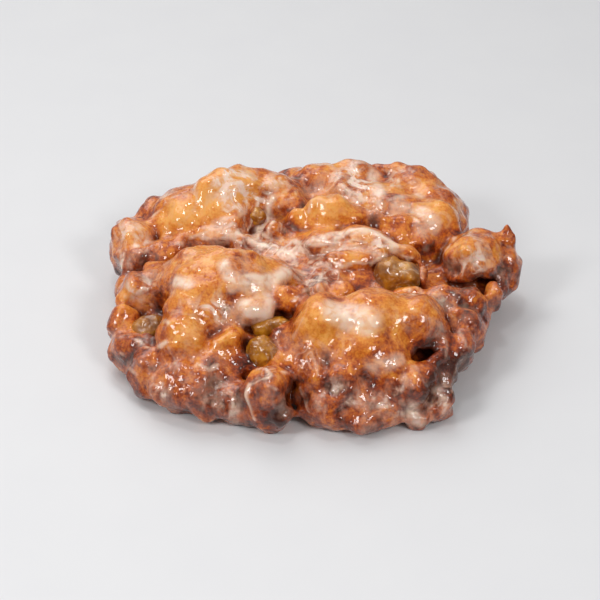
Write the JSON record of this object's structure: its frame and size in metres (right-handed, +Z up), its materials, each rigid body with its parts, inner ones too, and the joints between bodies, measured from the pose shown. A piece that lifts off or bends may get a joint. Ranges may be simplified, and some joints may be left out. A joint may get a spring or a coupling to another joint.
{
  "type": "glazed apple fritter",
  "caption": "Craggy fried apple fritter with lobed golden dough, apple chunks in its folds and a glossy sugar glaze, resting flat.",
  "frame": {"origin": "centre of the bounding box's bottom, on the plane the fritter rests on", "axes": "+Z up, +X to the right along the longest side as seen from the front, -Y towards the front edge"},
  "size_m": [0.1392, 0.1152, 0.0365],
  "materials": {
    "crust": "glazed golden brown fried crust",
    "apple": "wet cooked apple, olive amber"
  },
  "bodies": {
    "root": {"dough": "crust", "apple_chunk_centre": "apple", "apple_chunk_front": "apple", "apple_chunk_front_upper": "apple", "apple_chunk_left": "apple", "apple_chunk_back": "apple"}
  },
  "joints": []
}
